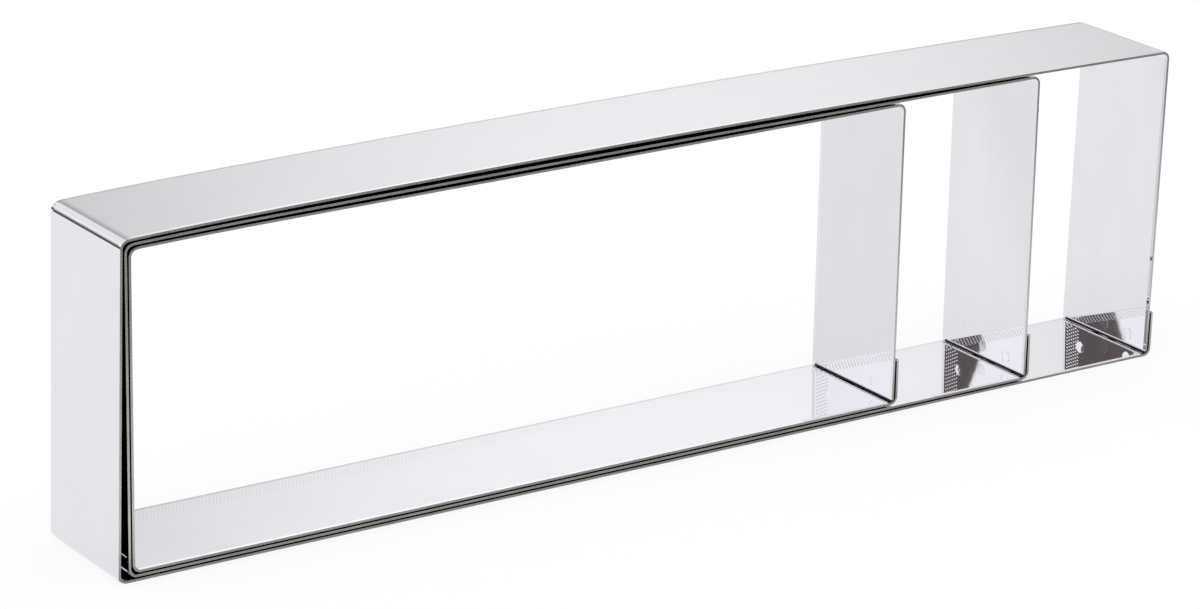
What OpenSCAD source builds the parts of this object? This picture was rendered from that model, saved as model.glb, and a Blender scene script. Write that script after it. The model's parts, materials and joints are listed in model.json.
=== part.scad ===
// Nest of three rectangular pastry rings, standing on a long side.
// Each ring is one strip of polished steel, bent at three corners and lapped at the fourth:
// there the bottom wall turns up outside the end wall as a tab, and spot welds join the two.
// The origin is the middle of the footprint, on the surface that the nest stands on.
// +X runs along the rings, +Y from the front rims to the rear rims, +Z up.

/* [Strip] */
// Thickness of the steel strip
strip_thickness = 0.7; // [0.5:0.05:1]
// Width of the strip, which is the depth of every ring
strip_width = 32; // [20:1:60]
// Outer radius of the bent corners
bend_radius = 2; // [1.4:0.1:4]

/* [Large ring] */
// Outside length of the large ring, without its tab
large_length = 280; // [240:1:400]
// Outside height of the large ring at its ends
large_height = 76.5; // [50:0.5:120]
// How far the large ring's top wall bows up at mid-length
large_bow = 1.3; // [0:0.1:3]
// How far the large ring's top leans to the right of its bottom
large_lean = 2.6; // [-2:0.1:4]

/* [Nest] */
// How much shorter each ring is than the one round it
length_step = 40; // [15:0.5:60]
// Gap between neighbouring rings where they come closest
nest_gap = 0.25; // [0.15:0.05:1]
// How far the medium ring's top leans to the right of its bottom
medium_lean = 1; // [-2:0.1:4]
// Further gap above the medium ring's top wall at mid-length
medium_slack = 0.5; // [0:0.1:2]
// How far the small ring's top leans to the right of its bottom
small_lean = 1; // [-2:0.1:4]
// Further gap above the small ring's top wall at mid-length
small_slack = 0.3; // [0:0.1:2]

/* [Lap] */
// Height of the tab above the underside of its ring
tab_height = 11; // [8:0.5:20]
// Gap between the tab and the end wall that it covers
lap_gap = 0.35; // [0.25:0.05:0.6]
// Least gap between the end wall's cut edge and the bend below it
edge_gap = 0.05; // [0.02:0.01:0.15]

/* [Spot welds] */
// Diameter of a spot weld
weld_diameter = 2.8; // [1:0.1:3]
// Distance from a rim to the middle of the weld next to it
weld_inset = 7; // [3:0.5:8]
// Gap between the bend of the tab and the edge of the two low welds above it
weld_clear = 0.4; // [0.2:0.1:1]
// Depth of the electrode's dent at each end of a weld
weld_dent = 0.1; // [0.05:0.01:0.2]

/* [Hidden] */

// Facets of a bend, of a bowed wall and of a round weld
bend_steps = 12;
bow_steps = 24;
weld_facets = 48;
// How far a weld's hole is cut past the faces of the two layers
cut_margin = 0.2;

steel = [0.82, 0.83, 0.84];
weld_steel = [0.68, 0.67, 0.66];

inner_radius = bend_radius - strip_thickness;
rim_front = -strip_width / 2;
rim_rear = strip_width / 2;

// Heights of the welds above the underside of their ring
weld_low = bend_radius + weld_clear + weld_diameter / 2;
weld_high = (bend_radius + tab_height) / 2;
// Place of each weld in a lap, as [depth, height]: the rear one sits higher than the other two
weld_front = [rim_front + weld_inset, weld_low];
weld_middle = [0, weld_low];
weld_rear = [rim_rear - weld_inset, weld_high];
WELDS = [weld_front, weld_middle, weld_rear];

// A ring is [left, floor, length, height at the left, height at the right, lean, bow]
function left_of(ring) = ring[0];
function floor_of(ring) = ring[1];
function length_of(ring) = ring[2];
function left_height(ring) = ring[3];
function right_height(ring) = ring[4];
function lean_of(ring) = ring[5];
function bow_of(ring) = ring[6];

// Outer faces of the left wall and of the end wall at height z
function left_face(ring, z) = left_of(ring) + lean_of(ring) * (z - floor_of(ring)) / left_height(ring);
function end_face(ring, z) =
    left_of(ring) + length_of(ring) + lean_of(ring) * (z - floor_of(ring)) / right_height(ring);
// Outer face of the tab at height z
function tab_face(ring, z) = end_face(ring, z) + lap_gap + strip_thickness;
// Upper face of the top wall, a share u of the way along it
function top_face(ring, u) =
    floor_of(ring) + left_height(ring) * (1 - u) + right_height(ring) * u + 4 * bow_of(ring) * u * (1 - u);
// Share of the way along the top wall at which x lies
function share_along(ring, x) = (x - left_of(ring) - lean_of(ring)) / length_of(ring);

// The ring that nests in another: on its floor, against its left wall and under its top wall
function nested(outer, lean, slack) =
    let (
        step_in = strip_thickness + nest_gap,
        floor = floor_of(outer) + step_in,
        length = length_of(outer) - length_step,
        outer_top = floor_of(outer) + left_height(outer) - step_in,
        left_at_floor = left_face(outer, floor) + step_in,
        left_at_top = left_face(outer, outer_top) + step_in - lean,
        left = max(left_at_floor, left_at_top),
        top_left = top_face(outer, share_along(outer, left + lean)) - step_in,
        top_right = top_face(outer, share_along(outer, left + lean + length)) - step_in,
        bow = bow_of(outer) * pow(length / length_of(outer), 2) - slack
    )
    [left, floor, length, top_left - floor, top_right - floor, lean, bow];

large = [0, 0, large_length, large_height, large_height, large_lean, large_bow];
medium = nested(large, medium_lean, medium_slack);
small = nested(medium, small_lean, small_slack);

// Height of the end wall's cut edge above the bottom wall, clear of the bend of the tab
edge_reach = max(0, inner_radius - lap_gap);
edge_lift = inner_radius - sqrt(pow(inner_radius - edge_gap, 2) - pow(edge_reach, 2));

// Middle of the footprint, which the nest is centred on
box_left = min(left_face(large, 0), left_face(large, large_height));
box_right = max(end_face(large, large_height), tab_face(large, tab_height), tab_face(large, 0));
footprint_middle = (box_left + box_right) / 2;

function unit(v) = v / norm(v);

// Points of the arc that rounds the corner b between a and c
function bend(a, b, c, radius) =
    let (
        u = unit(a - b),
        v = unit(c - b),
        half = acos(u * v) / 2,
        centre = b + unit(u + v) * radius / sin(half),
        from = b + u * radius / tan(half) - centre,
        to = b + v * radius / tan(half) - centre,
        start = atan2(from.y, from.x),
        turn = atan2(cross(from, to), from * to)
    )
    [for (i = [0:bend_steps])
        let (angle = start + turn * i / bend_steps)
        centre + radius * [cos(angle), sin(angle)]];

// One face of a strip, from the tab's free edge round to the end wall's cut edge,
// at a depth below the outer face and with corners of the given radius
function strip_face(ring, depth, radius) =
    let (
        floor = floor_of(ring) + depth,
        tab_top = floor_of(ring) + tab_height,
        edge = floor_of(ring) + strip_thickness + edge_lift,
        top_left = top_face(ring, 0) - depth,
        top_right = top_face(ring, 1) - depth,
        tab_end = [tab_face(ring, tab_top) - depth, tab_top],
        lap_corner = [tab_face(ring, floor) - depth, floor],
        floor_corner = [left_face(ring, floor) + depth, floor],
        left_corner = [left_face(ring, top_left) + depth, top_left],
        right_corner = [end_face(ring, top_right) - depth, top_right],
        cut_edge = [end_face(ring, edge) - depth, edge],
        top_start = left_of(ring) + lean_of(ring),
        top_wall = [for (i = [1:bow_steps - 1])
            let (u = i / bow_steps)
            [top_start + length_of(ring) * u, top_face(ring, u) - depth]]
    )
    [
        tab_end,
        each bend(tab_end, lap_corner, floor_corner, radius),
        each bend(lap_corner, floor_corner, left_corner, radius),
        each bend(floor_corner, left_corner, top_wall[0], radius),
        each top_wall,
        each bend(top_wall[bow_steps - 2], right_corner, cut_edge, radius),
        cut_edge
    ];

function reversed(points) = [for (i = [len(points) - 1:-1:0]) points[i]];

// Cross-section of a strip, seen from the front
module strip_section(ring) {
    polygon(concat(
        strip_face(ring, 0, bend_radius),
        reversed(strip_face(ring, strip_thickness, inner_radius))
    ));
}

// Round bar across the lap at a weld's place, past both layers by margin, or short of them if it is negative
module lap_bar(ring, weld, margin) {
    height = floor_of(ring) + weld[1];
    start = end_face(ring, height) - strip_thickness - margin;
    end = tab_face(ring, height) + margin;
    translate([start, weld[0], height])
        rotate([0, 90, 0])
            cylinder(h = end - start, d = weld_diameter, $fn = weld_facets);
}

module centred() {
    translate([-footprint_middle, 0, 0]) children();
}

// Bent strip of a ring, with a hole through the lap for each weld
module ring_strip(ring) {
    centred()
        difference() {
            translate([0, rim_rear, 0])
                rotate([90, 0, 0])
                    linear_extrude(strip_width) strip_section(ring);
            for (weld = WELDS) lap_bar(ring, weld, cut_margin);
        }
}

// Spot weld through the lap of a ring, dented at both ends
module ring_weld(ring, weld) {
    centred() lap_bar(ring, weld, -weld_dent);
}

module large_strip() { color(steel) ring_strip(large); }
module large_weld_front() { color(weld_steel) ring_weld(large, weld_front); }
module large_weld_middle() { color(weld_steel) ring_weld(large, weld_middle); }
module large_weld_rear() { color(weld_steel) ring_weld(large, weld_rear); }
module medium_strip() { color(steel) ring_strip(medium); }
module medium_weld_front() { color(weld_steel) ring_weld(medium, weld_front); }
module medium_weld_middle() { color(weld_steel) ring_weld(medium, weld_middle); }
module medium_weld_rear() { color(weld_steel) ring_weld(medium, weld_rear); }
module small_strip() { color(steel) ring_strip(small); }
module small_weld_front() { color(weld_steel) ring_weld(small, weld_front); }
module small_weld_middle() { color(weld_steel) ring_weld(small, weld_middle); }
module small_weld_rear() { color(weld_steel) ring_weld(small, weld_rear); }

large_strip();
large_weld_front();
large_weld_middle();
large_weld_rear();
medium_strip();
medium_weld_front();
medium_weld_middle();
medium_weld_rear();
small_strip();
small_weld_front();
small_weld_middle();
small_weld_rear();
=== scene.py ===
"""Looks of a nest of three rectangular pastry rings of mirror-polished steel strip.

Each ring is one strip, modelled from its flat cross-section: the section is drawn down the tab,
turned round the bends and along the walls, and ends at the cut edge behind the tab.
The rings are in millimetres until a finished piece is scaled to metres. The stage is in metres.
"""
import json
import math
from collections import namedtuple

import bmesh
import bpy
from mathutils import Matrix, Vector

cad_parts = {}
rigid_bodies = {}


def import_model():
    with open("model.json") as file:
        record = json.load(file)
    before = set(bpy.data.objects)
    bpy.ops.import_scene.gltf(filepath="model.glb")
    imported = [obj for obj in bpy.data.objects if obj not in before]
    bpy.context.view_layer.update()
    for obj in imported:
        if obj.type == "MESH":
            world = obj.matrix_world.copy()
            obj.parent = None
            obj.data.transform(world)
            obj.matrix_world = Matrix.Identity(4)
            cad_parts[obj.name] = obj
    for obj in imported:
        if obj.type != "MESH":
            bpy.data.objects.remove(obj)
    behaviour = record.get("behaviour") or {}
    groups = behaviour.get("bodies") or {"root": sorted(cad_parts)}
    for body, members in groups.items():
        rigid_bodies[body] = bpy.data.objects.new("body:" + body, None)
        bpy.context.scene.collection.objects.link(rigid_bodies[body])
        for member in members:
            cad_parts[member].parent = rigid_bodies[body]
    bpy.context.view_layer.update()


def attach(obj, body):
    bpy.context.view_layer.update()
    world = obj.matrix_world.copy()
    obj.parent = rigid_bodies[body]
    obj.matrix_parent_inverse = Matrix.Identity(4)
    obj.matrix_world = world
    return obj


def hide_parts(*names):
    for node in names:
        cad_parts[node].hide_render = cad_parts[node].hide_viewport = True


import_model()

MM = 0.001
# Play in tests of place, and in those where a wall's lean counts too
NEAR = 0.01
LEAN_PLAY = 0.05

# Strip that all three rings are bent from
STRIP_THICKNESS = 0.7
STRIP_WIDTH = 32
BEND_RADIUS = 2
BEND_STEPS = 12

# Rings, as the solids have them
LARGE_LENGTH = 280
LARGE_HEIGHT = 76.5
LARGE_BOW = 1.3
LARGE_LEAN = 2.6
LENGTH_STEP = 40
NEST_GAP = 0.25
MEDIUM_LEAN = 1
MEDIUM_SLACK = 0.5
SMALL_LEAN = 1
SMALL_SLACK = 0.3
TAB_HEIGHT = 11
LAP_GAP = 0.35
EDGE_GAP = 0.05
# A top wall with less bow than this is straight
LEAST_BOW = 0.1

# Left end of the top wall, which droops and comes down to its corner in a short shoulder
# and a softer bend
SOFT_BEND_RADIUS = 2.2
SHOULDER_TURN = math.radians(10)
SHOULDER_RADIUS = 8
SHOULDER_STEPS = 6
DROOP_TURN = math.radians(1.2)
DROOP_RADIUS = 1600
# Times that the droop's reach is corrected until the bend meets the left wall
REACH_TRIES = 4

# Edges of the strip, eased off by the polishing wheel: how far the faces fall away,
# and the width over which they do for each unit of that
REAR_EASE = 0.11
FRONT_EASE = 0.07
EASE_STRETCH = 11
FLAT_FRONT = FRONT_EASE * EASE_STRETCH - STRIP_WIDTH / 2
FLAT_REAR = STRIP_WIDTH / 2 - REAR_EASE * EASE_STRETCH
# Rounding of the two cut ends: length of each step, and the share of the thickness left after it
END_STEPS = ((0.18, 0.86), (0.2, 0.62))
ROUNDING = sum(length for length, share in END_STEPS)

# Band of small dots pressed into the inner face along the rear rim,
# with every second column set half a pitch on
DOT_COLUMNS = 6
DOT_PITCH_ACROSS = 0.83
DOT_PITCH_ALONG = 0.9
DOT_BAND_MIDDLE = 11.875
DOT_DEPTH = 0.022
HALF_ACROSS = DOT_PITCH_ACROSS / 2
HALF_BAND = DOT_COLUMNS * HALF_ACROSS
# Rows of points for each dot, and rows between two cuts across a wall
ROWS_PER_DOT = 4
ROWS_PER_CUT = 24
CUT_LENGTH = DOT_PITCH_ALONG / ROWS_PER_DOT * ROWS_PER_CUT
# Edges along the band that are shorter than this lie in a bend
LONGEST_IN_BEND = 2
# How far the points of a bowed or a straight wall stray from the plane that the wall starts in
BOWED_STRAY = 5 * LARGE_BOW
STRAIGHT_STRAY = 0.1

# Spot welds through the lap: name, depth and height of each
WELD_RADIUS = 1.4
WELD_FACETS = 48
WELD_LOW = 3.8
WELD_HIGH = 6.5
WELD_PLACES = (("front", -9, WELD_LOW), ("middle", 0, WELD_LOW), ("rear", 9, WELD_HIGH))
PUNCH_LENGTH = 4
# Depth of the dish that the electrode left inside, and its lean to the front in degrees
WELD_DISHES = {
    "front": (0.003, 0.9),
    "middle": (0.001, 0),
    "rear": (0.025, 1.9),
    "faint": (0.006, 0.3),
}
# Welds that the polishing has nearly taken away, by ring and place
FAINT_WELDS = (("medium", "rear"),)
# Inside of a weld: radii with the share of the dish's depth, and the skirt with its heights
WELD_RIM = 0.003
DISH_STEPS = ((0.45, 1), (0.75, 0.7), (1.1, 0.3), (1.35, 0))
INSIDE_SKIRT = ((1.5, 0.0021), (1.505, -0.02), (1.38, -0.03))
# Outside of a weld: radii and heights from the dent to the skirt, and the bottom of the dent
OUTSIDE_STEPS = (
    (0.75, -0.1), (1.05, -0.06), (1.3, 0.02), (1.45, 0.045), (1.6, 0.02), (1.68, -0.02), (1.38, -0.03))
DENT_INSET = 0.35
DENT_SINK = 0.015
# The dish leans as far out as this radius, and as deep as this behind the inner face
LEAN_RADIUS = 1.36
LEAN_DEPTH = 0.025

# Faces that look this much to the front or to the rear belong to a sheared rim
RIM_FACING = 0.3
# Shading: greatest angle that is smoothed, in degrees, and the weight of large faces
STRIP_SMOOTHING = 40
WELD_SMOOTHING = 60
NORMAL_WEIGHT = 90

Ring = namedtuple("Ring", "left floor length rise_left rise_right lean bow")


def left_face(ring, z):
    return ring.left + ring.lean * (z - ring.floor) / ring.rise_left


def end_face(ring, z):
    return ring.left + ring.length + ring.lean * (z - ring.floor) / ring.rise_right


def tab_face(ring, z):
    return end_face(ring, z) + LAP_GAP + STRIP_THICKNESS


def top_face(ring, share):
    level = ring.rise_left * (1 - share) + ring.rise_right * share
    return ring.floor + level + 4 * ring.bow * share * (1 - share)


def nested(outer, lean, slack):
    """The ring inside another: on its floor, against its left wall and under its top wall."""
    step_in = STRIP_THICKNESS + NEST_GAP
    floor = outer.floor + step_in
    length = outer.length - LENGTH_STEP
    outer_top = outer.floor + outer.rise_left - step_in
    left = max(left_face(outer, floor) + step_in, left_face(outer, outer_top) + step_in - lean)

    def height_under(x):
        share = (x - outer.left - outer.lean) / outer.length
        return top_face(outer, share) - step_in - floor

    bow = outer.bow * (length / outer.length) ** 2 - slack
    rise_left = height_under(left + lean)
    rise_right = height_under(left + lean + length)
    return Ring(left, floor, length, rise_left, rise_right, lean, bow)


large = Ring(0, 0, LARGE_LENGTH, LARGE_HEIGHT, LARGE_HEIGHT, LARGE_LEAN, LARGE_BOW)
medium = nested(large, MEDIUM_LEAN, MEDIUM_SLACK)
small = nested(medium, SMALL_LEAN, SMALL_SLACK)
RINGS = {"large": large, "medium": medium, "small": small}
FOOTPRINT_MIDDLE = end_face(large, LARGE_HEIGHT) / 2

# Height of the end wall's cut edge above the bottom wall, clear of the bend of the tab
inner_radius = BEND_RADIUS - STRIP_THICKNESS
edge_reach = inner_radius - LAP_GAP
EDGE_LIFT = inner_radius - math.sqrt((inner_radius - EDGE_GAP) ** 2 - edge_reach ** 2)


# Editing

def edit():
    bpy.ops.object.mode_set(mode="EDIT")


def leave():
    bpy.ops.object.mode_set(mode="OBJECT")


def choose(piece):
    bpy.ops.object.select_all(action="DESELECT")
    piece.select_set(True)
    bpy.context.view_layer.objects.active = piece


def pick(kind, test):
    """Selects the points, edges or faces that pass a test, and nothing else."""
    bpy.context.tool_settings.mesh_select_mode = (kind == "verts", kind == "edges", kind == "faces")
    bpy.ops.mesh.select_all(action="DESELECT")
    edited = bpy.context.object.data
    mesh = bmesh.from_edit_mesh(edited)
    for part in getattr(mesh, kind):
        if test(part):
            part.select_set(True)
    mesh.select_flush_mode()
    bmesh.update_edit_mesh(edited)


def settle(piece, place, turn):
    """Puts a piece in its place, turned about the depth axis, with the place in its mesh."""
    choose(piece)
    piece.location = place
    piece.rotation_euler = (0, turn, 0)
    bpy.ops.object.transform_apply(location=True, rotation=True, scale=True)


def to_metres(piece):
    """Centres a finished piece on the nest's footprint and scales it from millimetres."""
    choose(piece)
    piece.location = (-FOOTPRINT_MIDDLE * MM, 0, 0)
    piece.scale = (MM, MM, MM)
    bpy.ops.object.transform_apply(location=True, rotation=True, scale=True)


# Strip

def strip_section():
    """Flat cross-section of the strip, with its outer face at x = 0.

    The edges are eased off, and the inner face has the points of the band's columns.
    """
    bpy.ops.object.select_all(action="DESELECT")
    bpy.ops.mesh.primitive_plane_add(size=1, location=(0, 0, 0))
    section = bpy.context.object
    edit()
    bpy.ops.mesh.select_all(action="SELECT")
    bpy.ops.transform.resize(value=(STRIP_THICKNESS, STRIP_WIDTH / EASE_STRETCH, 1))
    pick("verts", lambda point: point.co.y > 0)
    bpy.ops.mesh.bevel(offset=REAR_EASE, offset_type="OFFSET", segments=1, affect="VERTICES")
    front = -STRIP_WIDTH / EASE_STRETCH / 2
    pick("verts", lambda point: point.co.y < front + NEAR)
    bpy.ops.mesh.bevel(offset=FRONT_EASE, offset_type="OFFSET", segments=1, affect="VERTICES")
    bpy.ops.mesh.select_all(action="SELECT")
    bpy.ops.transform.resize(value=(1, EASE_STRETCH, 1))
    bpy.ops.transform.translate(value=(-STRIP_THICKNESS / 2, 0, 0))

    flat_middle = (FLAT_FRONT + FLAT_REAR) / 2
    columns = 2 * DOT_COLUMNS + 1
    spacing = (FLAT_REAR - FLAT_FRONT) / (columns + 1)

    def on_inner_face(point):
        return abs(point.co.x + STRIP_THICKNESS) < NEAR

    def on_column(point):
        return on_inner_face(point) and FLAT_FRONT + NEAR < point.co.y < FLAT_REAR - NEAR

    pick("edges", lambda edge: all(map(on_inner_face, edge.verts)))
    bpy.ops.mesh.subdivide(number_cuts=columns)
    pick("verts", on_column)
    bpy.ops.transform.resize(
        value=(1, HALF_ACROSS / spacing, 1), center_override=(0, flat_middle, 0))
    bpy.ops.transform.translate(value=(0, DOT_BAND_MIDDLE - flat_middle, 0))
    leave()
    return section


def inward_of(heading):
    """Direction from the strip's outer face to the inside of the ring."""
    return Vector((heading.z, 0, -heading.x))


def turned(point, heading, angle, radius):
    """Point and heading after a turn to the inside of the ring; a negative angle goes back."""
    centre = point + inward_of(heading) * radius
    heading = heading * math.cos(angle) + inward_of(heading) * math.sin(angle)
    return centre - inward_of(heading) * radius, heading


def angle_between(a, b):
    return math.acos(max(-1, min(1, a.dot(b))))


class Path:
    """Draws the selected section along the strip's outer face, turning to the inside of the ring."""

    def __init__(self, point, heading):
        self.point = point
        self.heading = heading

    @property
    def inward(self):
        return inward_of(self.heading)

    def run(self, length):
        step = self.heading * length
        bpy.ops.mesh.extrude_region_move(TRANSFORM_OT_translate={"value": step})
        self.point = self.point + step

    def turn(self, angle, radius, steps):
        centre = self.point + self.inward * radius
        bpy.ops.mesh.spin(steps=steps, angle=angle, center=centre, axis=(0, -1, 0))
        self.point, self.heading = turned(self.point, self.heading, angle, radius)

    def round_end(self):
        """Carries the section on a little, narrowing, so that the cut end has no sharp arris."""
        left = 1
        for length, share in END_STEPS:
            self.run(length)
            middle = self.point + self.inward * STRIP_THICKNESS / 2
            loss = 1 - share / left
            across = abs(self.inward.x)
            narrowing = (1 - loss * across, 1, 1 - loss * (1 - across))
            bpy.ops.transform.resize(value=narrowing, center_override=middle)
            left = share


# Top wall of a ring: headings at its two ends, its length, and its radius if it is bowed
Top = namedtuple("Top", "start end length radius")
# Wall that the strip was drawn along
Wall = namedtuple("Wall", "start heading inward length cuts bowed")


def ring_corners(ring):
    """Corners of a ring's outer face, before they are rounded."""
    top_left = ring.left + ring.lean
    return {
        "lap": Vector((tab_face(ring, ring.floor), 0, ring.floor)),
        "floor": Vector((left_face(ring, ring.floor), 0, ring.floor)),
        "left": Vector((top_left, 0, top_face(ring, 0))),
        "right": Vector((top_left + ring.length, 0, top_face(ring, 1))),
    }


def top_wall(ring, corners):
    chord = corners["right"] - corners["left"]
    along = chord.normalized()
    if ring.bow < LEAST_BOW:
        return Top(along, along, chord.length, None)
    over = Vector((-along.z, 0, along.x))
    rise = 2 * math.atan(2 * ring.bow / chord.length)
    radius = chord.length / 2 / math.sin(rise)
    start = along * math.cos(rise) + over * math.sin(rise)
    end = along * math.cos(rise) - over * math.sin(rise)
    return Top(start, end, 2 * rise * radius, radius)


def meet_left_wall(corners, top, up):
    """Fits the droop and shoulder of the top wall to the left wall, which heads up.

    Gives the droop's reach along the top wall, the turn of the bend, and the left wall's length to it.
    """
    reach = 0
    for attempt in range(REACH_TRIES):
        if top.radius:
            droop_end = turned(corners["left"], top.start, reach / top.radius, top.radius)
        else:
            droop_end = corners["left"] + top.start * reach, top.start
        droop_start = turned(*droop_end, -DROOP_TURN, DROOP_RADIUS)
        shoulder_start = turned(*droop_start, -SHOULDER_TURN, SHOULDER_RADIUS)
        turn = angle_between(up, shoulder_start[1])
        bend_start, heading = turned(*shoulder_start, -turn, SOFT_BEND_RADIUS)
        wall = bend_start - corners["floor"]
        reach -= wall.dot(inward_of(up))
    return reach, turn, wall.dot(up)


def bent_strip(ring):
    """One ring's strip, left in edit mode, with the walls that it runs along."""
    up = Vector((ring.lean, 0, ring.rise_left)).normalized()
    down = -Vector((ring.lean, 0, ring.rise_right)).normalized()
    to_left = Vector((-1, 0, 0))
    tab_top = ring.floor + TAB_HEIGHT
    cut_edge = ring.floor + STRIP_THICKNESS + EDGE_LIFT
    corners = ring_corners(ring)
    top = top_wall(ring, corners)
    reach, left_turn, left_length = meet_left_wall(corners, top, up)

    turns = {
        "lap": angle_between(down, to_left),
        "floor": angle_between(to_left, up),
        "right": angle_between(top.end, down),
    }
    tangent = {corner: BEND_RADIUS * math.tan(turns[corner] / 2) for corner in turns}

    strip = strip_section()
    start = Vector((tab_face(ring, tab_top), 0, tab_top))
    settle(strip, start, math.atan2(-down.x, -down.z))
    edit()
    bpy.context.tool_settings.mesh_select_mode = (False, False, True)
    bpy.ops.mesh.select_all(action="SELECT")
    path = Path(start, down)
    walls = []

    def wall(length, radius=None):
        cuts = max(1, round(length / CUT_LENGTH))
        walls.append(Wall(path.point, path.heading, path.inward, length, cuts, radius is not None))
        if radius:
            path.turn(length / radius, radius, cuts)
        else:
            path.run(length)

    path.run((corners["lap"] - start).length - tangent["lap"])
    path.turn(turns["lap"], BEND_RADIUS, BEND_STEPS)
    wall((corners["floor"] - corners["lap"]).length - tangent["lap"] - tangent["floor"])
    path.turn(turns["floor"], BEND_RADIUS, BEND_STEPS)
    wall(left_length - tangent["floor"])
    path.turn(left_turn, SOFT_BEND_RADIUS, BEND_STEPS)
    path.turn(SHOULDER_TURN, SHOULDER_RADIUS, SHOULDER_STEPS)
    wall(DROOP_TURN * DROOP_RADIUS, DROOP_RADIUS)
    wall(top.length - reach - tangent["right"], top.radius)
    path.turn(turns["right"], BEND_RADIUS, BEND_STEPS)
    wall((path.point.z - cut_edge) / -path.heading.z - ROUNDING)
    path.round_end()

    # Round the tab's free edge in the same way
    def on_tab_end(face):
        middle = face.calc_center_median()
        high = middle.z > tab_top - LEAN_PLAY
        return len(face.verts) > 4 and high and middle.x > end_face(ring, tab_top)

    pick("faces", on_tab_end)
    bpy.ops.transform.translate(value=down * ROUNDING)
    back = Path(start + down * ROUNDING, -down)
    middle = start - Vector((STRIP_THICKNESS / 2, 0, 0))
    left = 1
    for length, share in END_STEPS:
        back.run(length)
        bpy.ops.transform.resize(value=(share / left, 1, 1), center_override=middle)
        left = share
    return strip, walls


def in_band(point):
    return abs(point.co.y - DOT_BAND_MIDDLE) < HALF_BAND + NEAR


def cut_rows(walls):
    """Cuts the walls across, and the band on their inner faces into rows of points for the dots."""
    for wall in walls:
        if wall.bowed:
            continue

        def along_wall(edge):
            middle = (edge.verts[0].co + edge.verts[1].co) / 2
            depth = (middle - wall.start).dot(wall.inward)
            in_sheet = abs(depth - STRIP_THICKNESS / 2) < STRIP_THICKNESS
            return in_sheet and edge.calc_length() > wall.length - NEAR

        pick("edges", along_wall)
        bpy.ops.mesh.subdivide(number_cuts=wall.cuts - 1)

    def along_band(edge):
        return all(map(in_band, edge.verts)) and edge.calc_length() > LONGEST_IN_BEND

    pick("edges", along_band)
    bpy.ops.mesh.subdivide(number_cuts=ROWS_PER_CUT - 1)


def press_dots(walls):
    """Presses one point for each dot in every second column of the band, in staggered rows."""
    for wall in walls:
        rows = wall.cuts * ROWS_PER_CUT
        row_length = wall.length / rows
        stray = BOWED_STRAY if wall.bowed else STRAIGHT_STRAY

        def is_dot(point):
            column = round((point.co.y - DOT_BAND_MIDDLE + HALF_BAND) / HALF_ACROSS)
            if not in_band(point) or column % 2 == 0:
                return False
            stagger = column // 2 % 2 * ROWS_PER_DOT / 2
            offset = point.co - wall.start
            row = round(offset.dot(wall.heading) / row_length)
            on_wall = abs(offset.dot(wall.inward) - STRIP_THICKNESS) < stray
            return on_wall and 0 < row < rows and row % ROWS_PER_DOT == stagger

        pick("verts", is_dot)
        bpy.ops.transform.translate(value=-wall.inward * DOT_DEPTH)
        bpy.ops.mesh.select_more()
        bpy.ops.mesh.quads_convert_to_tris(quad_method="SHORTEST_DIAGONAL")


def on_dot(face):
    """True of the small triangles of the pressed dots."""
    return len(face.verts) == 3 and all(map(in_band, face.verts))


def on_crease(edge):
    """True of the edges at which the flat of the strip ends and its eased edge starts."""
    def on_line(point):
        line = FLAT_REAR if point.co.y > 0 else FLAT_FRONT
        return abs(point.co.y - line) < NEAR

    return all(map(on_line, edge.verts))


def on_rim(face):
    """True of the sheared rims."""
    return abs(face.normal.y) > RIM_FACING


def on_cut_end(face):
    """True of the two cut ends, which have the points of the band's columns across the full width."""
    depths = [point.co.y for point in face.verts]
    return len(depths) > 2 * DOT_COLUMNS and max(depths) - min(depths) > STRIP_WIDTH - NEAR


def assign_edges(strip):
    """Gives the rims and the cut ends their own finishes, in the second and third slots."""
    edit()
    for slot, test in ((1, on_rim), (2, on_cut_end)):
        pick("faces", test)
        strip.active_material_index = slot
        bpy.ops.object.material_slot_assign()
    leave()


def weld_spot(ring, depth, height):
    """Middle of the lap at a weld, and the lean of the lap there."""
    z = ring.floor + height
    middle = (end_face(ring, z) - STRIP_THICKNESS + tab_face(ring, z)) / 2
    return Vector((middle, depth, z)), math.atan2(ring.lean, ring.rise_right)


def drill(strip, ring):
    """Cuts the welds' holes through both layers of the lap."""
    for place, depth, height in WELD_PLACES:
        spot, lean = weld_spot(ring, depth, height)
        bpy.ops.object.select_all(action="DESELECT")
        bpy.ops.mesh.primitive_cylinder_add(
            vertices=WELD_FACETS, radius=WELD_RADIUS, depth=PUNCH_LENGTH, location=spot,
            rotation=(0, math.pi / 2 + lean, 0))
        punch = bpy.context.object
        choose(strip)
        bpy.ops.object.modifier_add(type="BOOLEAN")
        hole = strip.modifiers[-1]
        hole.operation = "DIFFERENCE"
        hole.solver = "EXACT"
        hole.object = punch
        bpy.ops.object.modifier_apply(modifier=hole.name)
        bpy.data.objects.remove(punch)


def smooth(piece, angle, flat=None, sharp=None):
    """Smooth shading that keeps large flats flat, and the faces and edges that pass a test crisp."""
    choose(piece)
    bpy.ops.object.shade_smooth_by_angle(angle=math.radians(angle))
    edit()
    if flat:
        pick("faces", flat)
        bpy.ops.mesh.faces_shade_flat()
    if sharp:
        pick("edges", sharp)
        bpy.ops.mesh.mark_sharp()
    leave()
    bpy.ops.object.modifier_add(type="WEIGHTED_NORMAL")
    weighting = piece.modifiers[-1]
    weighting.keep_sharp = True
    weighting.weight = NORMAL_WEIGHT
    bpy.ops.object.modifier_apply(modifier=weighting.name)


# Spot weld

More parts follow.
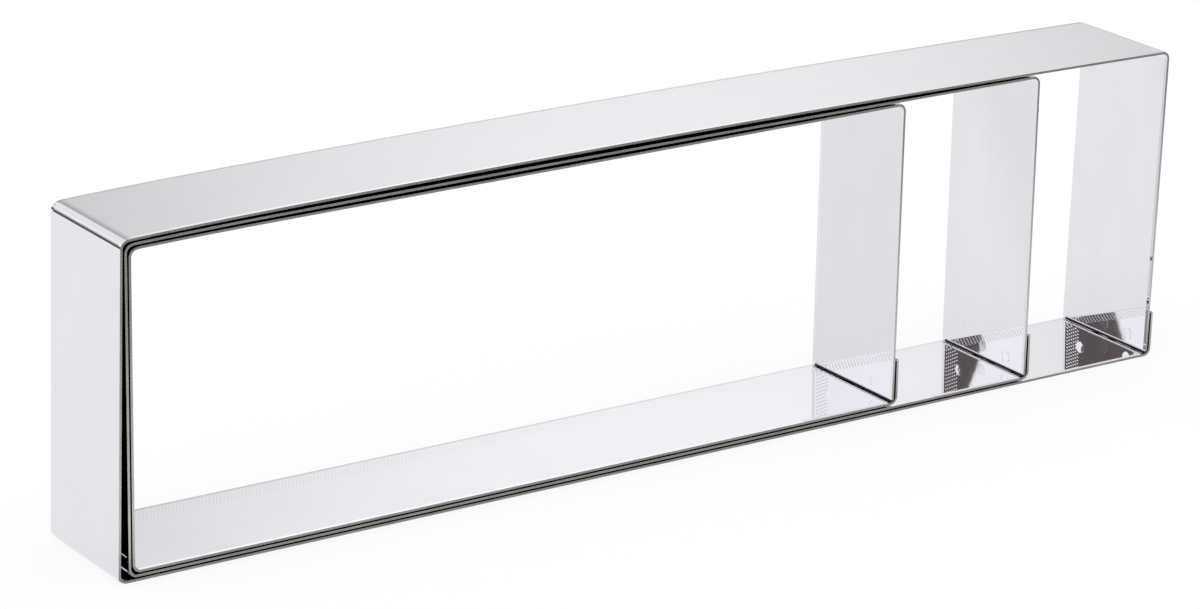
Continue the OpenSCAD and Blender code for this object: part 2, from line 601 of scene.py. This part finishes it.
def weld_button(dish, tilt, metal):
    """A spot weld at the origin along x: a plug through the lap, dished inside and dented outside."""
    half = LAP_GAP / 2 + STRIP_THICKNESS
    inside = [(radius, WELD_RIM - share * dish) for radius, share in DISH_STEPS]
    inside += INSIDE_SKIRT
    profile = [(radius, -half - height) for radius, height in inside]
    profile += [(radius, half + height) for radius, height in reversed(OUTSIDE_STEPS)]

    first_radius, first_x = profile[0]
    bpy.ops.object.select_all(action="DESELECT")
    bpy.ops.mesh.primitive_circle_add(
        vertices=WELD_FACETS, radius=first_radius, fill_type="NGON", location=(0, 0, 0),
        rotation=(0, math.pi / 2, 0))
    weld = bpy.context.object
    bpy.ops.object.transform_apply(location=True, rotation=True, scale=True)
    edit()
    bpy.ops.mesh.select_all(action="SELECT")
    bpy.ops.transform.translate(value=(first_x, 0, 0))
    pick("edges", lambda edge: edge.is_boundary)
    for (radius, x), (next_radius, next_x) in zip(profile, profile[1:]):
        bpy.ops.mesh.extrude_region_move(TRANSFORM_OT_translate={"value": (next_x - x, 0, 0)})
        grow = next_radius / radius
        bpy.ops.transform.resize(value=(1, grow, grow), center_override=(next_x, 0, 0))
    bpy.ops.mesh.edge_face_add()
    bpy.ops.mesh.inset(thickness=DENT_INSET, depth=0)
    bpy.ops.transform.translate(value=(-DENT_SINK, 0, 0))

    def on_dish(point):
        return point.co.x < LEAN_DEPTH - half and math.hypot(point.co.y, point.co.z) < LEAN_RADIUS

    pick("verts", on_dish)
    bpy.ops.transform.rotate(
        value=-math.radians(tilt), orient_axis="Z", center_override=(-half, 0, 0))
    bpy.ops.mesh.select_all(action="SELECT")
    bpy.ops.mesh.normals_make_consistent(inside=False)
    leave()
    weld.data.materials.append(metal)
    return weld


# Finishes

class Value:
    """A number that varies over a surface; arithmetic on it adds Math nodes."""

    def __init__(self, finish, socket):
        self.finish = finish
        self.socket = socket

    def maths(self, operation, *inputs):
        settings = {"operation": operation}
        return self.finish.value("ShaderNodeMath", 0, settings, dict(enumerate(inputs)))

    def __add__(self, other):
        return self.maths("ADD", self, other)

    def __sub__(self, other):
        return self.maths("SUBTRACT", self, other)

    def __rsub__(self, other):
        return self.maths("SUBTRACT", other, self)

    def __mul__(self, other):
        return self.maths("MULTIPLY", self, other)

    def __truediv__(self, other):
        return self.maths("DIVIDE", self, other)

    def __neg__(self):
        return self * -1

    def exponent(self):
        return self.maths("EXPONENT", self)

    def above(self, level):
        return self.maths("GREATER_THAN", self, level)

    def at_least(self, level):
        return self.maths("MAXIMUM", self, level)

    __radd__ = __add__
    __rmul__ = __mul__


class Finish:
    """The node tree of a material or of the surroundings."""

    def __init__(self, owner):
        owner.use_nodes = True
        self.owner = owner
        self.tree = owner.node_tree
        self.tree.nodes.clear()

    def node(self, kind, settings=None, inputs=None):
        made = self.tree.nodes.new(kind)
        for name, setting in (settings or {}).items():
            setattr(made, name, setting)
        for name, value in (inputs or {}).items():
            if isinstance(value, Value):
                value = value.socket
            if isinstance(value, bpy.types.NodeSocket):
                self.tree.links.new(value, made.inputs[name])
            else:
                made.inputs[name].default_value = value
        return made

    def value(self, kind, output=0, settings=None, inputs=None):
        return Value(self, self.node(kind, settings, inputs).outputs[output])

    def coordinates(self):
        return self.node("ShaderNodeTexCoord").outputs["Object"]

    def noise(self, grain):
        """Noise from 0 to 1."""
        place = {"Vector": self.coordinates(), "Scale": grain.per_metre}
        stretched = self.node("ShaderNodeMapping", inputs=place).outputs[0]
        made = self.value("ShaderNodeTexNoise", "Fac", inputs={
            "Vector": stretched, "Scale": 1, "Detail": grain.detail, "Roughness": grain.roughness})
        return self.between(made, grain.low, grain.high)

    def between(self, value, low, high, to_low=0, to_high=1, kind="LINEAR"):
        return self.value("ShaderNodeMapRange", settings={"interpolation_type": kind}, inputs={
            "Value": value, "From Min": low, "From Max": high, "To Min": to_low, "To Max": to_high})

    def rising(self, value, low, high):
        """Softly from 0 to 1 as a value goes from low to high."""
        return self.between(value, low, high, kind="SMOOTHSTEP")

    def blend(self, share, low, high):
        """Colour from low to high as share goes from 0 to 1."""
        return self.node("ShaderNodeMix", {"data_type": "RGBA"}, {0: share, 6: low, 7: high}).outputs[2]

    def metal(self, colour, roughness, relief=None, depth=0):
        """Makes the material a bare metal, with a relief of the given depth in metres."""
        inputs = {"Base Color": colour, "Metallic": 1, "Roughness": roughness}
        if relief:
            bump = {"Strength": 1, "Distance": depth, "Height": relief}
            inputs["Normal"] = self.node("ShaderNodeBump", inputs=bump).outputs[0]
        surface = self.node("ShaderNodeBsdfPrincipled", inputs=inputs).outputs[0]
        return self.output(surface)

    def output(self, shader, kind="ShaderNodeOutputMaterial"):
        self.node(kind, inputs={"Surface": shader})
        return self.owner


def grey(level, warm=0):
    return (level + warm, level, level - warm, 1)


WHITE = grey(1)
BLACK = grey(0)
STEEL_LOW = (0.795, 0.79, 0.825, 1)
STEEL_HIGH = (0.825, 0.82, 0.855, 1)
EDGE_LOW = grey(0.42, 0.012)
EDGE_HIGH = grey(0.62, 0.016)
# Cut ends: near black, painted shade of the crevice in the lap
CUT_SHADE_LOW = grey(0.05, 0.002)
CUT_SHADE_HIGH = grey(0.1, 0.004)

# Noise: marks per metre along each axis, detail, roughness, and the levels that count as 0 and 1
Grain = namedtuple("Grain", "per_metre detail roughness low high")
POLISH_LINES = Grain((14, 1500, 14), 3, 0.6, 0.3, 0.7)
POLISH_CLOUDS = Grain((45, 90, 45), 3, 0.5, 0.35, 0.65)
POLISH_MARKS = Grain((220, 500, 220), 4, 0.65, 0.45, 0.75)
SHEAR_MARKS = Grain((2600, 60, 2600), 2, 0.5, 0.3, 0.7)
SHEAR_PATCHES = Grain((140, 140, 140), 2, 0.5, 0.35, 0.65)
# Uneven tone of the painted shade on the cut ends
CUT_SHADE_GRAIN = Grain((900, 300, 900), 3, 0.5, 0, 1)
WELD_CLOUDS = Grain((900, 900, 900), 4, 0.6, 0.35, 0.65)

# Roughness of each finish, and what its noise adds to it
POLISH_ROUGHNESS = 0.012
LINE_BLUR = 0.006
CLOUD_BLUR = 0.006
MARK_BLUR = 0.008
SHEAR_ROUGHNESS = 0.24
SHEAR_BLUR = 0.1
CUT_ROUGHNESS = 0.4
WELD_ROUGHNESS = 0.03
WELD_BLUR = 0.02
# Share of the shear marks in the colour of the rims; the patches have the rest
SHEAR_TINT = 0.6
# Depth of the relief, in metres, and the shares of it that the polish lines and clouds take
POLISH_RELIEF = 2e-6
LINE_RELIEF = 0.01
CLOUD_RELIEF = 0.25
SHEAR_RELIEF = 6e-6


def polished_steel():
    """Mirror polish with faint lines along the strip and cloudy wheel marks."""
    finish = Finish(bpy.data.materials.new("polished_steel"))
    lines = finish.noise(POLISH_LINES)
    clouds = finish.noise(POLISH_CLOUDS)
    marks = finish.noise(POLISH_MARKS)
    colour = finish.blend((lines + clouds) / 2, STEEL_LOW, STEEL_HIGH)
    roughness = POLISH_ROUGHNESS + lines * LINE_BLUR + clouds * CLOUD_BLUR + marks * MARK_BLUR
    relief = lines * LINE_RELIEF + clouds * CLOUD_RELIEF
    return finish.metal(colour, roughness, relief, POLISH_RELIEF)


def sheared_edge():
    """Cut edge of the strip: duller and darker, with fine shear marks across the thickness."""
    finish = Finish(bpy.data.materials.new("sheared_edge"))
    marks = finish.noise(SHEAR_MARKS)
    patches = finish.noise(SHEAR_PATCHES)
    tint = marks * SHEAR_TINT + patches * (1 - SHEAR_TINT)
    colour = finish.blend(tint, EDGE_LOW, EDGE_HIGH)
    return finish.metal(colour, SHEAR_ROUGHNESS + marks * SHEAR_BLUR, marks, SHEAR_RELIEF)


def shaded_cut_end():
    """Cut ends of the strip: rough, and darkened with painted shade of the crevice inside the lap."""
    finish = Finish(bpy.data.materials.new("shaded_cut_end"))
    # The dark colour is painted shade of the lap's crevice, not dirt
    shade_grain = finish.noise(CUT_SHADE_GRAIN)
    return finish.metal(finish.blend(shade_grain, CUT_SHADE_LOW, CUT_SHADE_HIGH), CUT_ROUGHNESS)


def weld_steel():
    """Satin metal of a weld, cloudy where the electrode pressed."""
    finish = Finish(bpy.data.materials.new("weld_steel"))
    clouds = finish.noise(WELD_CLOUDS)
    colour = finish.blend(clouds, STEEL_LOW, STEEL_HIGH)
    return finish.metal(colour, WELD_ROUGHNESS + clouds * WELD_BLUR)


# Stage

FLOOR_HALF = 0.45
FLOOR_BACK = 0.9
# Just under the rings
FLOOR_HEIGHT = -0.0001
# Share of the floor's own light, and what it throws back
FLOOR_GLOW = 0.85
FLOOR_MATT = grey(0.9)
# Brightest and darkest that the steel shows the floor
FLOOR_SHOWN = grey(0.95)
FLOOR_DIMMEST = 0.1
# In front the rims show the floor's light falling off between these depths
FLOOR_LIT = -0.045
FLOOR_DARK = -0.26
# and its shade close to the rings, between these
SHADE_EDGE = -0.045
SHADE_CORE = -0.018
RING_FRONT = -0.014
SHADE = 0.6
# Behind the rings the light dims a little in a soft stripe, which goes this far back
# for each unit to the left, and comes in and fades between these places across it
DIM_SLANT = 1.53
DIM_RISE = (-0.15, 0.05)
DIM_FADE = (0.11, 0.135)
DIM = 0.065


def pale_floor():
    """White to the camera; the steel shows how its light falls off."""
    finish = Finish(bpy.data.materials.new("pale_floor"))
    seen = finish.value("ShaderNodeLightPath", "Is Camera Ray")
    place = finish.coordinates()
    along = finish.value("ShaderNodeSeparateXYZ", "X", inputs={0: place})
    depth = finish.value("ShaderNodeSeparateXYZ", "Y", inputs={0: place})
    aslant = depth + along * DIM_SLANT
    dim = finish.rising(aslant, *DIM_RISE) * (1 - finish.rising(aslant, *DIM_FADE)) * DIM
    shade = finish.rising(depth, SHADE_EDGE, SHADE_CORE) * (1 - depth.above(RING_FRONT)) * SHADE
    lit = finish.between(depth, FLOOR_DARK, FLOOR_LIT, FLOOR_DIMMEST, 1, "SMOOTHSTEP")
    shown = finish.blend(lit * (1 - shade) * (1 - dim), BLACK, FLOOR_SHOWN)
    glow = finish.node("ShaderNodeEmission", inputs={"Color": finish.blend(seen, shown, WHITE)})
    matt = finish.node("ShaderNodeBsdfDiffuse", inputs={"Color": FLOOR_MATT})
    layers = {0: FLOOR_GLOW, 1: matt.outputs[0], 2: glow.outputs[0]}
    finish.output(finish.node("ShaderNodeMixShader", inputs=layers).outputs[0])

    bpy.ops.object.select_all(action="DESELECT")
    bpy.ops.mesh.primitive_plane_add(size=2 * FLOOR_HALF, location=(0, 0, FLOOR_HEIGHT))
    floor = bpy.context.object
    floor.name = "floor"
    edit()
    pick("verts", lambda point: point.co.y > 0)
    bpy.ops.transform.translate(value=(0, FLOOR_BACK - FLOOR_HALF, 0))
    leave()
    floor.data.materials.append(finish.owner)


CARD_COLOUR = (0.135, 0.118, 0.115, 1)
CARD_SIDES = 6
CARD_PLACE = (-0.1724, 0.4, 0.165)
CARD_SCALE = (0.058, 0.0476, 1)


def dark_card():
    """A six-sided flag behind the left end, outside the picture, that only the steel shows."""
    finish = Finish(bpy.data.materials.new("dark_card"))
    glow = finish.node("ShaderNodeEmission", inputs={"Color": CARD_COLOUR})
    finish.output(glow.outputs[0])
    bpy.ops.object.select_all(action="DESELECT")
    bpy.ops.mesh.primitive_circle_add(
        vertices=CARD_SIDES, radius=1, fill_type="NGON", location=CARD_PLACE,
        rotation=(math.pi / 2, math.pi / 2, 0))
    card = bpy.context.object
    card.scale = CARD_SCALE
    card.name = "card"
    card.data.materials.append(finish.owner)
    card.visible_camera = False
    card.visible_diffuse = False
    card.visible_shadow = False


# Lights that the steel shows, as shares of white
SURROUND = 0.37
HORIZON = 0.1
FRONT = 0.6
LEFT_BOX = 0.56
LEFT_CORE = 0.3
RIGHT_BOX = 0.91
OVERHEAD = 0.5
# Light on all that isn't a mirror
PLAIN_LIGHT = 0.95
# Elevations, in degrees, between which lights come in and fade
SURROUND_RISE = (3, 9)
OVERHEAD_RISE = (38, 52)
LEFT_BOX_RISE = (5, 9)
LEFT_BOX_FADE = (42, 55)
# Steps to the back and to the right, in a direction of length 1, between which they do
SURROUND_BACK = (0.2, 0.5)
LEFT_BOX_BACK = (0, 0.15)
LEFT_BOX_RIGHT = (0.1, 0.2)
LEAST_BACK = 0.05
# Soft round lights: azimuth, elevation, and spread across and up, in degrees
LEFT_LOBE = (-40, 20, 8, 8)
RIGHT_LOBE = (34.3, 40, 7.7, 27)
LAMP_SIZE = 0.9
LAMP_ENERGY = 3
LAMP_HEIGHT = 1.1


def sine(degrees):
    return math.sin(math.radians(degrees))


def pointing(azimuth, elevation):
    level = sine(elevation + 90)
    return Vector((sine(azimuth) * level, sine(azimuth + 90) * level, sine(elevation)))


def studio():
    """White to the camera, soft boxes on a grey surround to the steel, and plain light to all else."""
    world = bpy.data.worlds.new("studio")
    bpy.context.scene.world = world
    finish = Finish(world)
    direction = finish.node("ShaderNodeTexCoord").outputs["Generated"]

    def towards(axis):
        settings = {"operation": "DOT_PRODUCT"}
        return finish.value("ShaderNodeVectorMath", "Value", settings, {0: direction, 1: axis})

    def climbing(elevations):
        low, high = elevations
        return finish.rising(up, sine(low), sine(high))

    def lobe(azimuth, elevation, wide, tall):
        across = towards(pointing(azimuth + 90, 0)) / sine(wide)
        over = towards(pointing(azimuth, elevation + 90)) / sine(tall)
        return (-(across * across + over * over) / 2).exponent() * back.above(0)

    up = towards((0, 0, 1))
    back = towards((0, 1, 0))
    right = towards((1, 0, 0)) / back.at_least(LEAST_BACK)

    surround = FRONT - HORIZON + finish.rising(back, *SURROUND_BACK) * (SURROUND - FRONT)
    surround = HORIZON + climbing(SURROUND_RISE) * surround
    left_box = climbing(LEFT_BOX_RISE) * (1 - climbing(LEFT_BOX_FADE))
    left_box = left_box * (1 - finish.rising(right, *LEFT_BOX_RIGHT))
    left_box = left_box * finish.rising(back, *LEFT_BOX_BACK)
    shown = surround + climbing(OVERHEAD_RISE) * OVERHEAD + left_box * LEFT_BOX
    shown = shown + lobe(*LEFT_LOBE) * LEFT_CORE + lobe(*RIGHT_LOBE) * RIGHT_BOX

    seen = finish.value("ShaderNodeLightPath", "Is Camera Ray")
    mirrored = finish.value("ShaderNodeLightPath", "Is Glossy Ray")
    strength = seen + mirrored * shown + (1 - seen - mirrored) * PLAIN_LIGHT
    light = finish.node("ShaderNodeBackground", inputs={"Color": WHITE, "Strength": strength})
    finish.output(light.outputs[0], "ShaderNodeOutputWorld")

    lamp = bpy.data.lights.new("overhead", "AREA")
    lamp.size = LAMP_SIZE
    lamp.energy = LAMP_ENERGY
    overhead = bpy.data.objects.new("overhead", lamp)
    overhead.location = (0, 0, LAMP_HEIGHT)
    overhead.visible_glossy = False
    bpy.context.scene.collection.objects.link(overhead)


CAMERA_PLACE = (-0.54134, -0.81367, 0.36316)
CAMERA_AZIMUTH = 33.152
CAMERA_ELEVATION = 18.665
CAMERA_ROLL = 0.496
CAMERA_LENS = 135.75
CAMERA_SENSOR = 36
CAMERA_NEAREST = 0.01
CAMERA_FARTHEST = 100


def camera():
    data = bpy.data.cameras.new("camera")
    data.sensor_width = CAMERA_SENSOR
    data.lens = CAMERA_LENS
    data.clip_start = CAMERA_NEAREST
    data.clip_end = CAMERA_FARTHEST
    viewer = bpy.data.objects.new("camera", data)
    turn = Matrix.Rotation(-math.radians(CAMERA_AZIMUTH), 4, "Z")
    tilt = Matrix.Rotation(math.radians(90 - CAMERA_ELEVATION), 4, "X")
    roll = Matrix.Rotation(math.radians(CAMERA_ROLL), 4, "Z")
    viewer.matrix_world = Matrix.Translation(CAMERA_PLACE) @ turn @ tilt @ roll
    bpy.context.scene.collection.objects.link(viewer)
    bpy.context.scene.camera = viewer


camera()
studio()
pale_floor()
dark_card()

strip_finishes = (polished_steel(), sheared_edge(), shaded_cut_end())
weld_finish = weld_steel()
weld_patterns = {
    kind: weld_button(dish, tilt, weld_finish) for kind, (dish, tilt) in WELD_DISHES.items()}

for name, ring in RINGS.items():
    strip, walls = bent_strip(ring)
    strip.name = f"{name}_bent_strip"
    cut_rows(walls)
    press_dots(walls)
    bpy.ops.mesh.select_all(action="SELECT")
    bpy.ops.mesh.normals_make_consistent(inside=False)
    leave()
    for finish in strip_finishes:
        strip.data.materials.append(finish)
    assign_edges(strip)
    drill(strip, ring)
    smooth(strip, STRIP_SMOOTHING, on_dot, on_crease)
    to_metres(strip)
    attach(strip, f"{name}_ring")
    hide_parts(f"{name}_strip")

    for place, depth, height in WELD_PLACES:
        spot, lean = weld_spot(ring, depth, height)
        pattern = weld_patterns["faint" if (name, place) in FAINT_WELDS else place]
        weld = pattern.copy()
        weld.data = pattern.data.copy()
        bpy.context.scene.collection.objects.link(weld)
        weld.name = f"{name}_{place}_spot_weld"
        settle(weld, spot, lean)
        smooth(weld, WELD_SMOOTHING)
        to_metres(weld)
        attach(weld, f"{name}_ring")
        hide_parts(f"{name}_weld_{place}")

for pattern in weld_patterns.values():
    bpy.data.objects.remove(pattern)

bpy.context.scene.view_settings.view_transform = "Standard"
